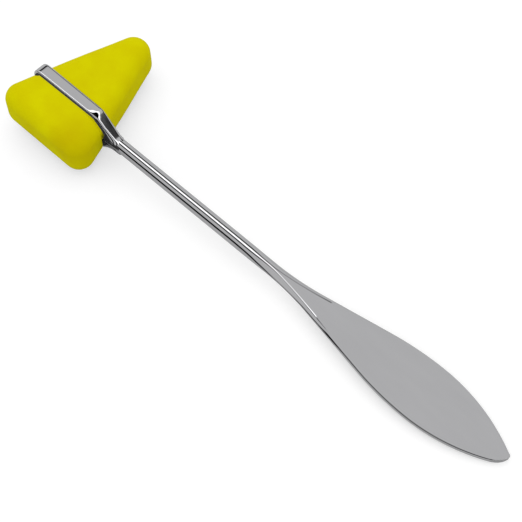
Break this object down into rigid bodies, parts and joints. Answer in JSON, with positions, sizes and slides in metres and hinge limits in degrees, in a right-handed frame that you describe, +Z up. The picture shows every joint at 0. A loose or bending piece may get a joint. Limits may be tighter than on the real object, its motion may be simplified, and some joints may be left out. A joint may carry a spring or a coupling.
{
  "type": "reflex hammer",
  "caption": "Reflex hammer: rounded triangular rubber head squeezed in a flat metal loop, round shank, leaf-shaped flat blade with a blunt point.",
  "frame": {"origin": "under the middle of the rubber head, at the centre of the loop's flat underside, on which the head rests", "axes": "+X runs along the shank to the blade's point, +Y to the head's pointed edge, +Z up through the head's thickness"},
  "size_m": [0.1947, 0.0485, 0.0184],
  "materials": {
    "yellow_rubber": "moulded, satin, slightly mottled",
    "polished_chrome": "polished chrome plate on steel"
  },
  "bodies": {
    "root": {"rubber_head": "yellow_rubber", "loop_strap": "polished_chrome", "handle": "polished_chrome"}
  },
  "joints": []
}
